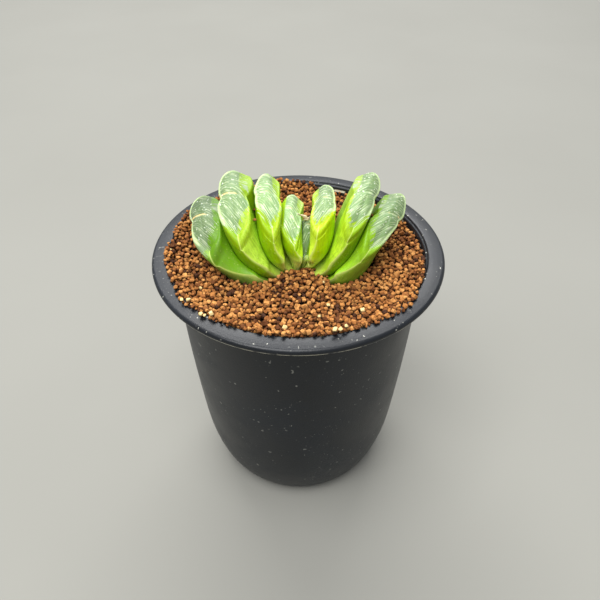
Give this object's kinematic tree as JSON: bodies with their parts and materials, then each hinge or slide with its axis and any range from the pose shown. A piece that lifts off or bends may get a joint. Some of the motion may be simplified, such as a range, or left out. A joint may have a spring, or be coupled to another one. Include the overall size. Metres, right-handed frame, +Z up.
{
  "type": "potted succulent",
  "caption": "Small haworthia in a round plastic pot: a fan of thick leaves with flat translucent windows, standing in granular growing medium.",
  "frame": {"origin": "centre of the pot's base, on the surface it stands on", "axes": "+Z up, the fan of leaves spread along X, and the side it is mostly seen from facing -Y"},
  "size_m": [0.1048, 0.1048, 0.1301],
  "materials": {
    "pot_plastic": "matt, finely grained, dusty",
    "granules": "rough fired-clay grains",
    "root_tissue": "dull, fleshy",
    "leaf_inner": "satin, waxy",
    "leaf_outer": "satin, waxy",
    "dry_leaf": "dry, papery"
  },
  "bodies": {
    "root": {"pot": "pot_plastic", "growing_medium": "granules", "stem_and_roots": "root_tissue", "leaf_left_outer": "leaf_outer", "leaf_left_third": "leaf_outer", "leaf_left_second": "leaf_outer", "leaf_left_inner": "leaf_inner", "leaf_centre_young": "leaf_inner", "leaf_right_inner": "leaf_inner", "leaf_right_second": "leaf_outer", "leaf_right_outer": "leaf_outer", "dry_leaf_tip": "dry_leaf"}
  },
  "joints": []
}
